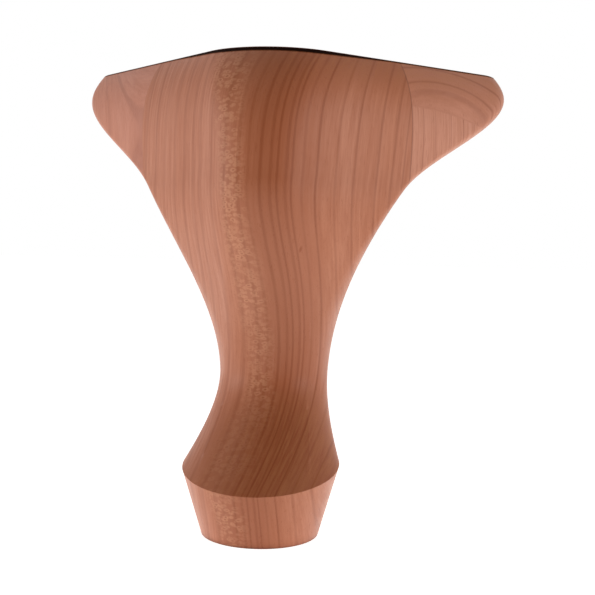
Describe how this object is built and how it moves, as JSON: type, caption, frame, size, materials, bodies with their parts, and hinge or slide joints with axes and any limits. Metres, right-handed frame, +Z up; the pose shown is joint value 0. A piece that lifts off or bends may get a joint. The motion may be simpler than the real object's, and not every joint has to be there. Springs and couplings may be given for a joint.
{
  "type": "cabriole furniture leg",
  "caption": "Cabriole corner leg with a full knee, round ankle, rimmed pad foot and two glued ears that carry a sofa or chair frame.",
  "frame": {"origin": "middle of the foot's underside", "axes": "+Z up, -Y to the front corner of the knee, +X to the right ear's side"},
  "size_m": [0.1492, 0.1024, 0.152],
  "materials": {
    "post_wood": "sanded cherry, clear satin finish",
    "right_ear_wood": "sanded cherry, clear satin finish",
    "left_ear_wood": "sanded cherry, clear satin finish"
  },
  "bodies": {
    "root": {"leg_post": "post_wood", "right_ear": "right_ear_wood", "left_ear": "left_ear_wood"}
  },
  "joints": []
}
